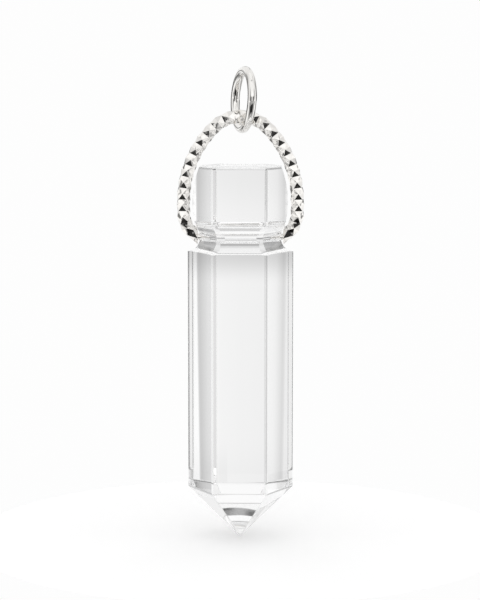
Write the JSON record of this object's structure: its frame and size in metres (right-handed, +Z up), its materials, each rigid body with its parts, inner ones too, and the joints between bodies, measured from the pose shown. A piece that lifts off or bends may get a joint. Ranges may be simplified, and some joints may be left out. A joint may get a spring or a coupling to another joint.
{
  "type": "crystal point pendant",
  "caption": "Clear hexagonal crystal point with a grooved neck, hung on pegs in an arched facet-cut silver wire bail under a round jump ring.",
  "frame": {"origin": "inside top of the jump ring, where a chain or cord carries the pendant", "axes": "+Z up along the hanging pendant, +Y away from the viewer, +X to the viewer's right"},
  "size_m": [0.014, 0.0092, 0.0521],
  "materials": {
    "crystal": "polished, clear and colourless",
    "bail_silver": "diamond-cut bright silver",
    "ring_silver": "polished silver"
  },
  "bodies": {
    "ring": {"jump_ring": "ring_silver"},
    "bail": {"bail": "bail_silver"},
    "stone": {"crystal_point": "crystal"}
  },
  "joints": [
    {"name": "bail_swing", "type": "hinge", "parent": "ring", "child": "bail", "pos_m": [-0.00035, 0, -0.00579], "axis": [0.309, -0.9511, 0], "range_deg": [-60, 60]},
    {"name": "stone_swing", "type": "hinge", "parent": "bail", "child": "stone", "pos_m": [-0.0005, 0, -0.01767], "axis": [1, 0, 0], "range_deg": [-90, 90]}
  ]
}
